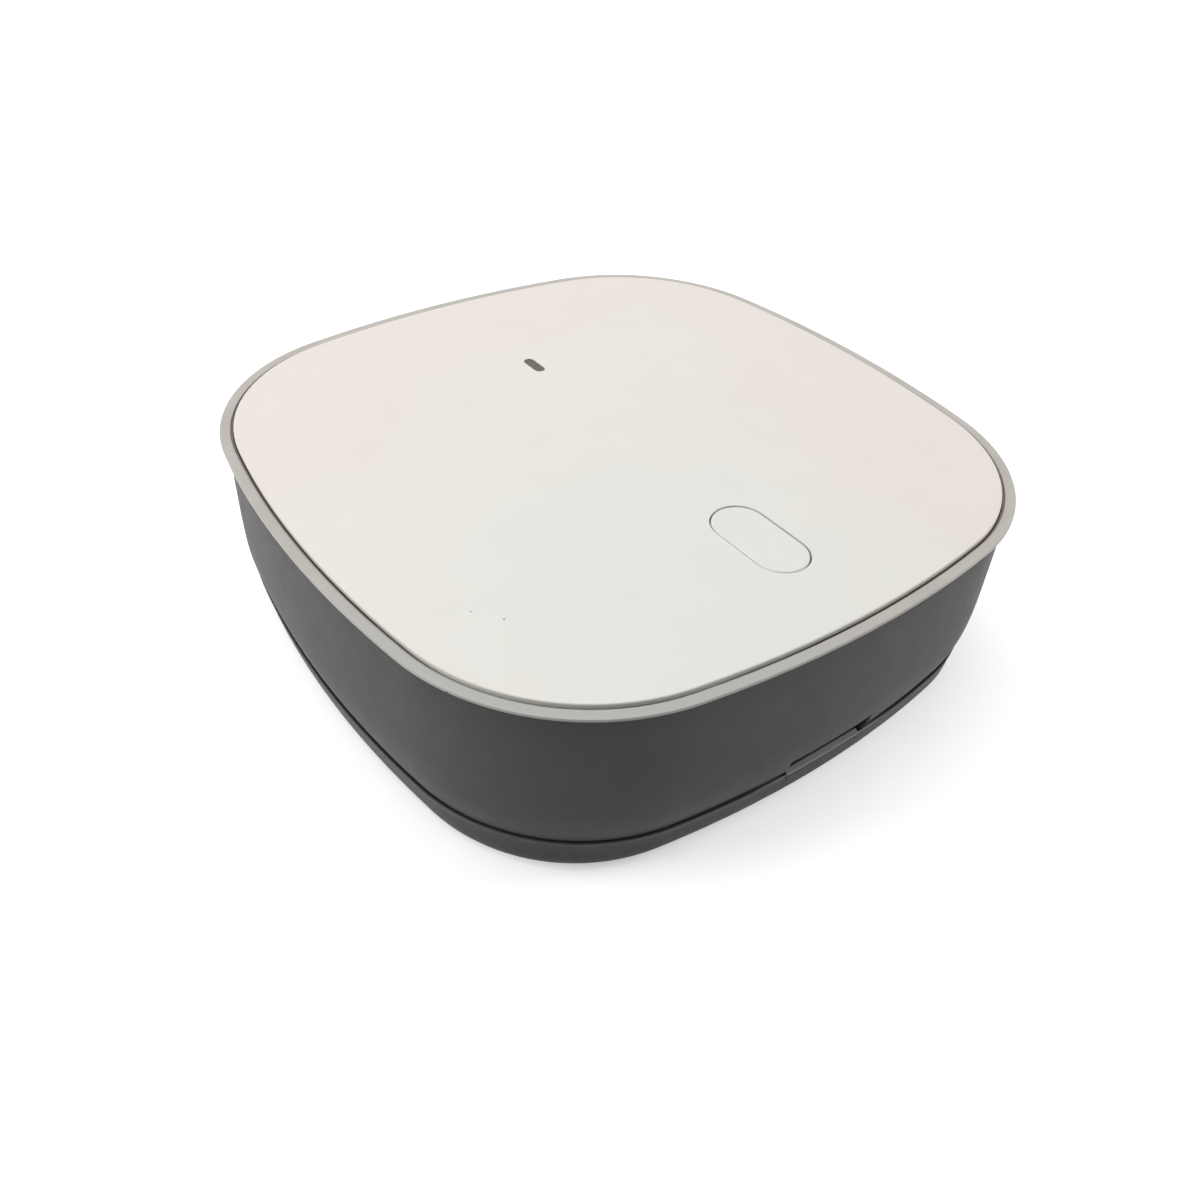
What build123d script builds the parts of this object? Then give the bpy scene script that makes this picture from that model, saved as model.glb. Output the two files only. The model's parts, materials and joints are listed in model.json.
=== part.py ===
from build123d import *
import math
import os

# A garage door controller hub: a rounded square box with a white cover plate, a trim ring,
# a dark body and a shallow base. All lengths are in millimetres.
# +Z is up, +X runs along the front edge, +Y points to the back, where the power inlet is.
# The origin is the middle of the surface that the feet stand on.

# Width of the plan outline, which the ring overhangs a little, and the heights of the top
hub_width = 140.0
ring_top = 40.4
panel_proud = 0.5
cut_overrun = 1.0

# Plan outline with no inset: above the base's rim, and at the base's bottom edge
hub_side_radius = 213.5
hub_corner_radius = 40.3
base_side_radius = 229.2
base_corner_radius = 37.2

# Trim ring and cover plate
ring_overhang = 0.2
ring_width = 1.85
ring_thickness = 0.55
ring_top_round = 0.22
ring_bottom_round = 0.12
ring_ledge_drop = 0.4
ring_ledge_root = 0.4
ring_ledge_clearance = 0.2
ring_rib_clearance = 0.1
panel_gap = 0.65
panel_thickness = 2.05
panel_edge_round = 0.3
panel_skirt_depth = 3.7
panel_skirt_wall = 1.5
panel_skirt_clearance = 0.3
barb_length = 10.0
barb_height = 1.2
barb_depth = 1.0
barb_play = 0.1
barb_corner_gap = 1.0

# Body shell: how far it stands in from the ring's edge, and at which height
body_rim_inset = 1.2
body_belly_inset = 0.9
body_belly_height = 29.0
body_waist_inset = 0.9
body_waist_height = 18.0
body_turn_inset = 1.5
body_turn_height = 12.0
body_foot_inset = 2.95
body_wall = 2.2
rim_ledge_width = 3.2
rim_ledge_depth = 1.7
column_radius = 3.8
column_wall_gap = 6.0
column_rib_thickness = 2.4
column_rib_clearance = 0.2

# Base cover, a tray whose lip stands round the body's foot
base_bottom = 0.8
base_rim = 8.0
base_floor = 2.0
base_rim_inset = 1.95
base_side_inset = 3.0
base_side_height = 3.6
base_low_inset = 3.8
base_low_height = 1.5
base_bottom_inset = 4.5
base_lip_width = 0.4
base_lip_round = 0.15
seam_depth = 0.5
upstand_wall = 1.5
upstand_height = 3.0
upstand_clearance = 0.2

# Sound slot in the front wall, just over the seam, with a sloping ledge inside it
slot_length = 21.0
slot_height = 4.3
slot_centre = 0.5
slot_end_clearance = 0.3
slot_ledge_width = 0.8
slot_ledge_rise = 0.85
slot_ledge_root = 0.5
slot_ledge_overlap = 0.1
slot_mouth_length = 1.8
slot_mouth_drop = 0.9

# Keyholes for two wall screws, and the bare label recess between them
keyhole_spacing = 60.0
keyhole_entry_radius = 4.3
keyhole_slot_radius = 2.2
keyhole_travel = 8.0
keyhole_rim = 2.2
keyhole_rim_rise = 1.0
label_width = 52.0
label_height = 24.0
label_depth = 0.3
label_corner = 2.0

# Feet
foot_radius = 5.0
foot_thickness = 2.0
foot_edge_round = 0.3
foot_seat_clearance = 0.2
foot_inset_x = 36.0
foot_inset_y = 17.0

# Screws
screw_radius = 1.5
screw_hole_clearance = 0.05
screw_pass_clearance = 0.2
screw_head_radius = 2.9
screw_head_height = 1.8
screw_head_round = 0.4
screw_head_clearance = 0.4
screw_drive_width = 0.8
screw_drive_length = 3.2
screw_drive_depth = 1.0
screw_end_room = 0.5
case_screw_seat = 3.0
case_screw_boss_wall = 0.9
case_screw_boss_gap = 1.0
case_screw_bite = 7.5
board_screw_bite = 4.6

# Push button
button_x = 0.8
button_hole_width = 11.3
button_hole_length = 21.7
button_edge_distance = 14.3
button_gap = 0.3
button_lip_thickness = 0.9
button_travel = 0.5
button_flange_width = 1.2
button_flange_thickness = 1.2
button_flange_play = 0.1
button_top_round = 0.35
button_well_clearance = 0.3
button_well_wall = 1.2
button_well_depth = 3.7
button_stem_radius = 2.5
button_stem_play = 0.1
button_rib_length = 16.0
button_rib_thickness = 1.2
button_rib_share = 0.45

# Circuit board
board_thickness = 1.6
board_bottom = 22.4
board_corner = 7.0
board_tab_width = 22.0
board_tab_wall_gap = 0.6

# Push switch on the board, under the button
switch_width = 6.0
switch_height = 3.5
switch_floor = 1.3
switch_bore_radius = 2.65
switch_cover_thickness = 0.3
switch_cover_hole_radius = 2.0
switch_clip_width = 3.0
switch_clip_drop = 1.5
switch_plunger_radius = 1.7
switch_plunger_top = 8.0
switch_collar_radius = 2.3
switch_collar_thickness = 0.5
switch_collar_play = 0.15
switch_leg_width = 0.7
switch_leg_length = 1.6
switch_leg_thickness = 0.3
switch_leg_spacing = 4.5
dome_radius = 2.35
dome_thickness = 0.15
dome_play = 0.1

# Status light
light_x = 2.2
light_edge_distance = 32.4
light_window_width = 2.3
light_window_length = 6.2
light_window_clearance = 0.08
light_window_recess = 0.1
light_flange_width = 1.6
light_flange_thickness = 1.2
led_width = 2.8
led_length = 3.2
led_height = 1.9
led_lens_radius = 1.1
led_lens_depth = 0.3
light_led_gap = 0.25
shroud_height = 4.6
shroud_wall = 1.4
shroud_clearance = 0.3

# Network module
wifi_board_width = 18.0
wifi_board_length = 25.5
wifi_board_thickness = 0.8
wifi_shield_width = 15.8
wifi_shield_length = 17.6
wifi_shield_height = 2.4
wifi_shield_end_gap = 1.1
wifi_pad_radius = 0.45
wifi_pad_spacing = 1.5
wifi_pad_count = 10
shield_wall = 0.3

# Logic chips
processor_width = 9.0
processor_height = 0.9
memory_width = 4.0
memory_length = 5.0
memory_height = 1.6
crystal_width = 2.5
crystal_length = 3.2
crystal_height = 0.8
crystal_edge_round = 0.2
leg_spacing = 1.27
leg_width = 0.42
leg_length = 1.0
leg_thickness = 0.2
leg_rise = 0.8
chip_mark_radius = 0.45
chip_mark_depth = 0.12
chip_mark_inset = 1.0

# Radio for the door opener
radio_shield_width = 24.0
radio_shield_length = 20.0
radio_shield_height = 3.2
radio_vent_width = 1.6
radio_vent_length = 5.0
radio_vent_spacing = 4.0
radio_vent_count = 4
radio_chip_width = 5.0
radio_chip_height = 0.9
radio_chip_offset = 4.5
antenna_span = 36.0
antenna_height = 11.0
antenna_strip = 3.0
antenna_thickness = 0.5
antenna_leg_spacing = 7.0
antenna_pad = 3.4

# Power inlet at the back
port_width = 7.6
port_height = 2.7
port_depth = 5.8
port_wall = 0.3
port_corner = 0.6
port_recess = 0.3
port_hole_clearance = 0.35
port_insert_clearance = 0.05
port_insert_depth = 1.2
port_tongue_width = 4.6
port_tongue_thickness = 0.7
port_tongue_setback = 0.5

# Supply
fuse_width = 4.5
fuse_length = 3.2
fuse_height = 0.9
fuse_end_cap = 0.6
fuse_end_lip = 0.1
diode_width = 4.3
diode_length = 2.6
diode_height = 2.0
diode_lead_width = 1.5
diode_lead_length = 0.6
inductor_width = 7.0
inductor_height = 3.4
inductor_flange = 0.7
inductor_core_radius = 2.7
input_capacitor_radius = 4.0
input_capacitor_height = 10.0
output_capacitor_radius = 3.15
output_capacitor_height = 7.7
capacitor_foot_height = 1.0
capacitor_foot_margin = 0.15
capacitor_groove_height = 1.2
capacitor_groove_depth = 0.25
capacitor_edge_round = 0.4
capacitor_vent_width = 0.3
capacitor_vent_depth = 0.15
regulator_width = 4.0
regulator_length = 5.0
regulator_height = 1.6

# Sounder under the board, behind the slot
sounder_radius = 10.0
sounder_height = 8.5
sounder_wall = 1.0
sounder_mouth_radius = 1.6
sounder_edge_round = 0.4
sounder_shelf_width = 1.0
sounder_shelf_height = 2.4
sounder_disc_thickness = 0.4
sounder_disc_clearance = 0.1
sounder_pin_radius = 0.4
sounder_pin_clearance = 0.1
sounder_pin_switch_gap = 1.6
sounder_pin_play = 0.1
sounder_pin_proud = 1.0
driver_width = 1.6
driver_length = 3.0
driver_height = 1.1

# Small two ended parts on the board
small_length = 1.6
small_width = 0.8
small_height = 0.5
small_spacing = 3.0
small_end_cap = 0.3
small_end_lip = 0.05

# Places on the board, as shares of its width from its middle: each part, then each row of
# small parts as the place of its first part and how many there are
part_place_shares = {
    "wifi": (-0.39, 0.24),
    "processor": (-0.055, -0.02),
    "memory": (-0.22, -0.04),
    "clock": (-0.055, -0.12),
    "radio": (0.24, -0.20),
    "antenna": (0.455, 0.04),
    "fuse": (-0.085, 0.465),
    "diode": (-0.16, 0.415),
    "inductor": (0.175, 0.37),
    "input_capacitor": (0.13, 0.46),
    "output_capacitor": (0.27, 0.40),
    "regulator": (0.09, 0.34),
    "driver": (-0.10, -0.40),
}
resistor_row_shares = (
    (-0.16, 0.06, 9),
    (-0.40, -0.14, 6),
    (0.17, -0.36, 8),
    (-0.26, -0.27, 6),
)
capacitor_row_shares = (
    (-0.16, 0.11, 8),
    (0.12, -0.06, 8),
    (-0.40, -0.19, 6),
    (0.10, 0.24, 4),
)

# Levels and places that follow from the sizes above
ring_bottom = ring_top - ring_thickness
panel_top = ring_top + panel_proud
panel_bottom = panel_top - panel_thickness
panel_inset = ring_width + panel_gap
panel_half = hub_width / 2 - panel_inset
ledge_inset = body_rim_inset + rim_ledge_width
ledge_bottom = panel_bottom - rim_ledge_depth
skirt_inset = ledge_inset + panel_skirt_clearance
floor_top = base_bottom + base_floor
body_bottom = base_rim - seam_depth
lip_inset = base_rim_inset + base_lip_width
upstand_inset = body_foot_inset + body_wall + upstand_clearance
upstand_top = base_rim + upstand_height
board_top = board_bottom + board_thickness
column_bottom = body_bottom + case_screw_boss_gap
side_back_off = hub_side_radius - hub_width / 2
signs = [(-1, -1), (1, -1), (1, 1), (-1, 1)]
quarter_turns = (0, 90, 180, 270)
FRONT_TURN = 270
QUARTER_TURN = 90
STANDING = (Align.CENTER, Align.CENTER, Align.MIN)


def outline_arcs(inset, level):
    """Side arc radius, corner arc radius, and where the corner arc's centre lies."""
    base_share = max(0, base_rim - level) / (base_rim - base_bottom)
    side = hub_side_radius + (base_side_radius - hub_side_radius) * base_share - inset
    corner = hub_corner_radius + (base_corner_radius - hub_corner_radius) * base_share - inset
    back_off = side - (hub_width / 2 - inset)
    reach = side - corner
    corner_centre = (math.sqrt(2 * reach ** 2 - back_off ** 2) - back_off) / 2
    return side, corner, back_off, corner_centre


def half_angle(inset, level):
    """Half of the angle that a side arc spans, in degrees."""
    side, corner, back_off, corner_centre = outline_arcs(inset, level)
    return math.degrees(math.atan2(corner_centre, corner_centre + back_off))


def corner_reach(inset, level):
    """Distance from the middle to the outline along the diagonal."""
    side, corner, back_off, corner_centre = outline_arcs(inset, level)
    return corner_centre * math.sqrt(2) + corner


def hub_face(inset, level):
    """The plan outline at a height: four side arcs joined by four tangent corner arcs."""
    side, corner, back_off, corner_centre = outline_arcs(inset, level)
    half = half_angle(inset, level)
    edges = []
    for turn in quarter_turns:
        side_centre = Vector(-back_off, 0, 0).rotate(Axis.Z, turn)
        bend_centre = Vector(corner_centre, corner_centre, 0).rotate(Axis.Z, turn)
        edges.append(CenterArc(side_centre, side, turn - half, 2 * half))
        edges.append(CenterArc(bend_centre, corner, turn + half, QUARTER_TURN - 2 * half))
    return Pos(0, 0, level) * Face(Wire(edges))


def hub_slab(inset, low, high, level):
    """A straight sided slab with the outline that the hub has at one level."""
    return extrude(Pos(0, 0, low - level) * hub_face(inset, level), high - low)


def hub_band(outer, inner, low, high, level):
    """A closed band between two insets."""
    hole = hub_slab(inner, low - cut_overrun, high + cut_overrun, level)
    return hub_slab(outer, low, high, level) - hole


def hub_loft(profile, extra_inset=0):
    """A smooth form through outlines at several heights."""
    return loft([hub_face(inset + extra_inset, level) for level, inset in profile])


def on_side(shape, turn, along, inset):
    """Set a shape on a side arc: its own +X looks outwards, and along is measured on the arc."""
    angle = math.degrees(along / hub_side_radius)
    outwards = Pos(hub_side_radius - inset, 0, 0) * shape
    return Rot(0, 0, turn) * Pos(-side_back_off, 0, 0) * Rot(0, 0, angle) * outwards


def block(x_size, y_size, low, high, x=0, y=0):
    """An upright block between two heights."""
    return Pos(x, y, low) * Box(x_size, y_size, high - low, align=STANDING)


def post(radius, low, high, x=0, y=0):
    """An upright cylinder between two heights."""
    return Pos(x, y, low) * Cylinder(radius, high - low, align=STANDING)


def pill(width, length, low, high, x, y):
    """An upright pill with its long axis along Y."""
    return Pos(x, y, low) * extrude(SlotOverall(length, width, rotation=90), high - low)


def top_edges(solid):
    return solid.edges().group_by(Axis.Z)[-1]


def bottom_edges(solid):
    return solid.edges().group_by(Axis.Z)[0]


def group(solids):
    """Several separate solids of one kind."""
    return Compound(children=[solid for part in solids for solid in part.solids()])


column_reach = corner_reach(body_waist_inset + body_wall, body_waist_height) - column_wall_gap - column_radius
column_offset = column_reach / math.sqrt(2)
board_half = column_offset + board_corner
board_width = 2 * board_half
button_y = button_edge_distance + button_hole_length / 2 - panel_half
light_y = panel_half - light_edge_distance - light_window_length / 2
cap_width = button_hole_width - 2 * button_gap
cap_length = button_hole_length - 2 * button_gap
flange_top = panel_top - button_lip_thickness - button_flange_play
flange_bottom = flange_top - button_flange_thickness
stem_bottom = board_top + switch_plunger_top + button_stem_play


def place(name):
    """Where a part lies on the board."""
    x_share, y_share = part_place_shares[name]
    return board_width * x_share, board_width * y_share


def back_wall_y(inset):
    """The back wall at an inset, on the centre line."""
    return hub_width / 2 - inset


def make_bezel_ring():
    """A thin ring with a low ledge inside it, which floors the gap round the panel."""
    ring = hub_slab(-ring_overhang, ring_bottom, ring_top, ring_top)
    ring = fillet(top_edges(ring), ring_top_round)
    ring = fillet(bottom_edges(ring), ring_bottom_round)
    ring -= hub_slab(ring_width, ring_bottom - cut_overrun, ring_top + cut_overrun, ring_top)
    ledge_edge = panel_inset - ring_ledge_clearance
    ledge_top = ring_top - ring_ledge_drop
    ring += hub_band(ring_width - ring_ledge_root, ledge_edge, ring_bottom, ledge_top, ring_top)
    rib_bottom = panel_bottom + ring_rib_clearance
    return ring + hub_band(ring_width + ring_rib_clearance, ledge_edge, rib_bottom, ledge_top, ring_top)


def make_barb(turn, along):
    """A snap barb on the skirt, which hooks under the body's rim ledge."""
    high = ledge_bottom - barb_play
    return on_side(block(2 * barb_depth, barb_length, high - barb_height, high), turn, along, skirt_inset)


def button_well_room(extra_width, low, high):
    """The room that the cap's flange moves in, or its guide wall's outside."""
    margin = button_flange_width + button_well_clearance + extra_width
    return pill(cap_width + 2 * margin, cap_length + 2 * margin, low, high, button_x, button_y)


def make_top_panel():
    panel = hub_slab(panel_inset, panel_bottom, panel_top, ring_top)
    panel = fillet(top_edges(panel), panel_edge_round)
    skirt_low = panel_bottom - panel_skirt_depth
    panel += hub_band(skirt_inset, skirt_inset + panel_skirt_wall, skirt_low, panel_bottom, ring_top)
    side_half_length = math.radians(half_angle(0, ring_top)) * hub_side_radius
    along = side_half_length - barb_length / 2 - barb_corner_gap
    for turn in quarter_turns:
        panel += make_barb(turn, -along)
        panel += make_barb(turn, along)
    well_low = panel_bottom - button_well_depth
    panel += button_well_room(button_well_wall, well_low, panel_bottom)
    panel -= button_well_room(0, well_low - cut_overrun, panel_top - button_lip_thickness)
    low = panel_bottom - cut_overrun
    high = panel_top + cut_overrun
    panel -= pill(button_hole_width, button_hole_length, low, high, button_x, button_y)
    window_width = light_window_width + 2 * light_window_clearance
    window_length = light_window_length + 2 * light_window_clearance
    panel -= pill(window_width, window_length, low, high, light_x, light_y)
    return panel


def body_profile():
    """Heights and insets of the body's outside, from its foot in the tray up to the ring."""
    return [
        (body_bottom, body_foot_inset),
        (body_turn_height, body_turn_inset),
        (body_waist_height, body_waist_inset),
        (body_belly_height, body_belly_inset),
        (ring_bottom, body_rim_inset),
    ]


def make_column(x_sign, y_sign):
    """A screw column in a corner, with the rib that ties it to the wall."""
    rib_end = corner_reach(body_turn_inset + body_wall / 2, body_turn_height)
    rib_length = rib_end - column_reach
    rib_low = upstand_top + column_rib_clearance
    rib = block(rib_length, column_rib_thickness, rib_low, board_bottom, column_reach + rib_length / 2)
    column = rib + post(column_radius, column_bottom, board_bottom, column_reach)
    return Rot(0, 0, math.degrees(math.atan2(y_sign, x_sign))) * column


def column_holes(x_sign, y_sign):
    """Pilot holes, one from below for the case screw and one from above for the board screw."""
    x = x_sign * column_offset
    y = y_sign * column_offset
    radius = screw_radius + screw_hole_clearance
    case_hole_top = column_bottom + case_screw_bite + screw_end_room
    board_hole_low = board_bottom - board_screw_bite - screw_end_room
    low_hole = post(radius, column_bottom - cut_overrun, case_hole_top, x, y)
    high_hole = post(radius, board_hole_low, board_bottom + cut_overrun, x, y)
    return low_hole + high_hole


def port_hole():
    """The hole with rounded corners in the back wall, where the inlet looks out."""
    width = port_width + 2 * port_hole_clearance
    height = port_height + 2 * port_hole_clearance
    outline = RectangleRounded(width, height, port_corner + port_hole_clearance)
    tool = extrude(outline, body_wall + cut_overrun, both=True)
    centre_y = back_wall_y(body_waist_inset + body_wall / 2)
    return Pos(0, centre_y, board_top + port_height / 2) * Rot(90, 0, 0) * tool


def make_body_shell():
    shell = hub_loft(body_profile()) - hub_loft(body_profile(), body_wall)
    ledge_outer = body_rim_inset + body_wall / 2
    shell += hub_band(ledge_outer, ledge_inset, ledge_bottom, panel_bottom, ring_top)
    shell -= hub_slab(ring_width, panel_bottom, ring_top, ring_top)
    for x_sign, y_sign in signs:
        shell += make_column(x_sign, y_sign)
        shell -= column_holes(x_sign, y_sign)
    slot_depth = body_foot_inset + 2 * body_wall
    slot = block(slot_depth, slot_length, body_bottom - cut_overrun, base_rim + slot_height)
    shell -= on_side(slot, FRONT_TURN, slot_centre, slot_depth / 2)
    return shell - port_hole()


def base_profile():
    """Heights and insets of the base's outside, from its bottom edge up to its rim."""
    return [
        (base_bottom, base_bottom_inset),
        (base_low_height, base_low_inset),
        (base_side_height, base_side_inset),
        (base_rim, base_rim_inset),
    ]


def make_slot_ledge():
    """The sloping ledge that shows in the slot, just inside the tray's lip."""
    front = lip_inset - slot_ledge_overlap
    low = body_bottom - slot_ledge_root
    high = base_rim + slot_ledge_rise
    slope = Polyline((0, low), (0, base_rim), (-slot_ledge_width, high), (-slot_ledge_width, low), close=True)
    length = slot_length - 2 * slot_end_clearance - slot_mouth_length
    ledge = extrude(Plane.XZ * make_face(slope), length / 2, both=True)
    return on_side(ledge, FRONT_TURN, slot_centre - slot_mouth_length / 2, front)


def make_slot_mouth():
    """The way out for the sound at the slot's far end, from inside the upstand to the tray's lip."""
    inner = upstand_inset + upstand_wall + cut_overrun
    low = body_bottom - slot_mouth_drop
    mouth = block(inner - lip_inset, slot_mouth_length, low, upstand_top + cut_overrun)
    along = slot_centre + slot_length / 2 - slot_end_clearance - slot_mouth_length / 2
    return on_side(mouth, FRONT_TURN, along, (inner + lip_inset) / 2)


def keyhole_form(y, entry_radius, slot_radius, low, high):
    """A keyhole: a round entry below, and a narrow way up to where the screw hangs."""
    entry_y = y - keyhole_travel
    way = block(2 * slot_radius, keyhole_travel, low, high, 0, y - keyhole_travel / 2)
    return post(entry_radius, low, high, 0, entry_y) + way + post(slot_radius, low, high, 0, y)


def make_base_cover():
    base = fillet(top_edges(hub_loft(base_profile())), base_lip_round)
    base -= hub_slab(lip_inset, body_bottom, base_rim + cut_overrun, base_rim)
    base += hub_slab(upstand_inset, body_bottom - slot_ledge_root, upstand_top, base_rim)
    base -= hub_slab(upstand_inset + upstand_wall, floor_top, upstand_top + cut_overrun, base_rim)
    base += make_slot_ledge()
    base -= make_slot_mouth()
    middle = base_bottom + base_floor / 2
    boss_radius = screw_head_radius + screw_head_clearance + case_screw_boss_wall
    seat = base_bottom + case_screw_seat
    for x_sign, y_sign in signs:
        x = x_sign * column_offset
        y = y_sign * column_offset
        base += post(boss_radius, middle, column_bottom, x, y)
        base -= post(screw_head_radius + screw_head_clearance, base_bottom - cut_overrun, seat, x, y)
        base -= post(screw_radius + screw_pass_clearance, seat, column_bottom + cut_overrun, x, y)
    for x, y in foot_places():
        base -= post(foot_radius + foot_seat_clearance, base_bottom - cut_overrun, foot_thickness, x, y)
    for y in (-keyhole_spacing / 2, keyhole_spacing / 2):
        rim_entry = keyhole_entry_radius + keyhole_rim
        base += keyhole_form(y, rim_entry, keyhole_slot_radius + keyhole_rim, middle, floor_top + keyhole_rim_rise)
        high = floor_top + keyhole_rim_rise + cut_overrun
        base -= keyhole_form(y, keyhole_entry_radius, keyhole_slot_radius, base_bottom - cut_overrun, high)
    label = extrude(RectangleRounded(label_width, label_height, label_corner), label_depth + cut_overrun)
    return base - Pos(0, 0, base_bottom - cut_overrun) * label


def foot_places():
    x = hub_width / 2 - foot_inset_x
    y = hub_width / 2 - foot_inset_y
    return [(x_sign * x, y_sign * y) for x_sign, y_sign in signs]


def make_foot(x, y):
    return fillet(bottom_edges(post(foot_radius, 0, foot_thickness, x, y)), foot_edge_round)


def make_screw(length):
    """A pan head screw with its head down and its shank up from z 0."""
    head = fillet(bottom_edges(post(screw_head_radius, -screw_head_height, 0)), screw_head_round)
    low = -screw_head_height - cut_overrun
    high = screw_drive_depth - screw_head_height
    head -= block(screw_drive_length, screw_drive_width, low, high)
    head -= block(screw_drive_width, screw_drive_length, low, high)
    return head + post(screw_radius, 0, length)


def make_case_screws():
    seat = base_bottom + case_screw_seat
    screw = make_screw(column_bottom + case_screw_bite - seat)
    return group([Pos(x * column_offset, y * column_offset, seat) * screw for x, y in signs])


def make_board_screws():
    screw = Rot(180, 0, 0) * make_screw(board_thickness + board_screw_bite)
    return group([Pos(x * column_offset, y * column_offset, board_top) * screw for x, y in signs])


def make_button_cap():
    cap = pill(cap_width, cap_length, flange_bottom, panel_top, button_x, button_y)
    cap = fillet(top_edges(cap), button_top_round)
    flange_width = cap_width + 2 * button_flange_width
    flange_length = cap_length + 2 * button_flange_width
    cap += pill(flange_width, flange_length, flange_bottom, flange_top, button_x, button_y)
    cap += post(button_stem_radius, stem_bottom, flange_bottom, button_x, button_y)
    rib_low = flange_bottom - (flange_bottom - stem_bottom) * button_rib_share
    cap += block(button_rib_thickness, button_rib_length, rib_low, flange_bottom, button_x, button_y)
    cap += block(cap_width, button_rib_thickness, rib_low, flange_bottom, button_x, button_y)
    return cap


def make_switch_base():
    low = board_top
    high = board_top + switch_height
    base = block(switch_width, switch_width, low, high, button_x, button_y)
    for x_sign, y_sign in signs:
        x = button_x + x_sign * switch_width / 2
        y = button_y + y_sign * switch_leg_spacing / 2
        base += block(switch_leg_length, switch_leg_width, low, low + switch_leg_thickness, x, y)
    return base - post(switch_bore_radius, low + switch_floor, high + cut_overrun, button_x, button_y)


def make_switch_cover():
    low = board_top + switch_height
    high = low + switch_cover_thickness
    width = switch_width + 2 * switch_cover_thickness
    cover = block(width, switch_width, low, high, button_x, button_y)
    for x_sign in (-1, 1):
        x = button_x + x_sign * (switch_width + switch_cover_thickness) / 2
        cover += block(switch_cover_thickness, switch_clip_width, low - switch_clip_drop, high, x, button_y)
    return cover - post(switch_cover_hole_radius, low - cut_overrun, high + cut_overrun, button_x, button_y)


def collar_levels():
    high = board_top + switch_height - switch_collar_play
    return high - switch_collar_thickness, high


def make_switch_plunger():
    low, high = collar_levels()
    plunger = post(switch_plunger_radius, low, board_top + switch_plunger_top, button_x, button_y)
    return plunger + post(switch_collar_radius, low, high, button_x, button_y)


def make_switch_dome():
    """The sprung metal dome under the plunger: a cap cut from a thin ball."""
    low = board_top + switch_floor
    rise = collar_levels()[0] - dome_play - low
    ball_radius = (dome_radius ** 2 + rise ** 2) / (2 * rise)
    ball = Sphere(ball_radius) - Sphere(ball_radius - dome_thickness)
    ball = Pos(button_x, button_y, low + rise - ball_radius) * ball
    return ball & block(2 * dome_radius, 2 * dome_radius, low, low + rise, button_x, button_y)


def make_light_pipe():
    low = board_top + led_height + light_led_gap
    top = panel_top - light_window_recess
    pipe = pill(light_window_width, light_window_length, low, top, light_x, light_y)
    width = light_window_width + 2 * light_flange_width
    length = light_window_length + 2 * light_flange_width
    flange_low = panel_bottom - light_flange_thickness
    return pipe + pill(width, length, flange_low, panel_bottom, light_x, light_y)


def make_light_shroud():
    room = 2 * shroud_clearance
    width = max(light_window_width, led_width) + room
    length = max(light_window_length, led_length) + room
    high = board_top + shroud_height
    shroud = block(width + 2 * shroud_wall, length + 2 * shroud_wall, board_top, high, light_x, light_y)
    return shroud - block(width, length, board_top - cut_overrun, high + cut_overrun, light_x, light_y)


def make_status_led():
    high = board_top + led_height
    led = block(led_width, led_length, board_top, high, light_x, light_y)
    return led - post(led_lens_radius, high - led_lens_depth, high + cut_overrun, light_x, light_y)


def sounder_place():
    """Under the push switch, in line with the slot."""
    return slot_centre, button_y


def sounder_pin_places():
    """One pin in front of the push switch and one behind it."""
    x, y = sounder_place()
    reach = switch_width / 2 + sounder_pin_switch_gap + sounder_pin_radius
    return [(x, y - reach), (x, y + reach)]


def make_main_board():
    outline = RectangleRounded(board_width, board_width, board_corner)
    board = Pos(0, 0, board_bottom) * extrude(outline, board_thickness)
    tab_end = back_wall_y(body_waist_inset + body_wall) - board_tab_wall_gap
    tab_length = tab_end - board_half + board_corner
    board += block(board_tab_width, tab_length, board_bottom, board_top, 0, tab_end - tab_length / 2)
    low = board_bottom - cut_overrun
    high = board_top + cut_overrun
    for x_sign, y_sign in signs:
        x = x_sign * column_offset
        y = y_sign * column_offset
        board -= post(screw_radius + screw_pass_clearance, low, high, x, y)
    for x, y in sounder_pin_places():
        board -= post(sounder_pin_radius + sounder_pin_clearance, low, high, x, y)
    return board


def make_shield(width, length, height, low, x, y):
    """A can of thin sheet, open below."""
    can = block(width, length, low, low + height, x, y)
    inner_width = width - 2 * shield_wall
    inner_length = length - 2 * shield_wall
    return can - block(inner_width, inner_length, low - cut_overrun, low + height - shield_wall, x, y)


def make_wifi_board():
    x, y = place("wifi")
    high = board_top + wifi_board_thickness
    board = block(wifi_board_width, wifi_board_length, board_top, high, x, y)
    first_y = y - wifi_board_length / 2 + wifi_shield_end_gap + wifi_pad_spacing
    for number in range(wifi_pad_count):
        pad_y = first_y + number * wifi_pad_spacing
        for x_sign in (-1, 1):
            edge_x = x + x_sign * wifi_board_width / 2
            board -= post(wifi_pad_radius, board_top - cut_overrun, high + cut_overrun, edge_x, pad_y)
    return board


def make_wifi_shield():
    x, y = place("wifi")
    shield_y = y - wifi_board_length / 2 + wifi_shield_end_gap + wifi_shield_length / 2
    low = board_top + wifi_board_thickness
    return make_shield(wifi_shield_width, wifi_shield_length, wifi_shield_height, low, x, shield_y)


def make_flat_chip(width, height, x, y):
    """A square chip with no legs, and a round mark in one corner."""
    high = board_top + height
    chip = block(width, width, board_top, high, x, y)
    mark_place = width / 2 - chip_mark_inset
    mark_low = high - chip_mark_depth
    return chip - post(chip_mark_radius, mark_low, high + cut_overrun, x - mark_place, y + mark_place)


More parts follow.
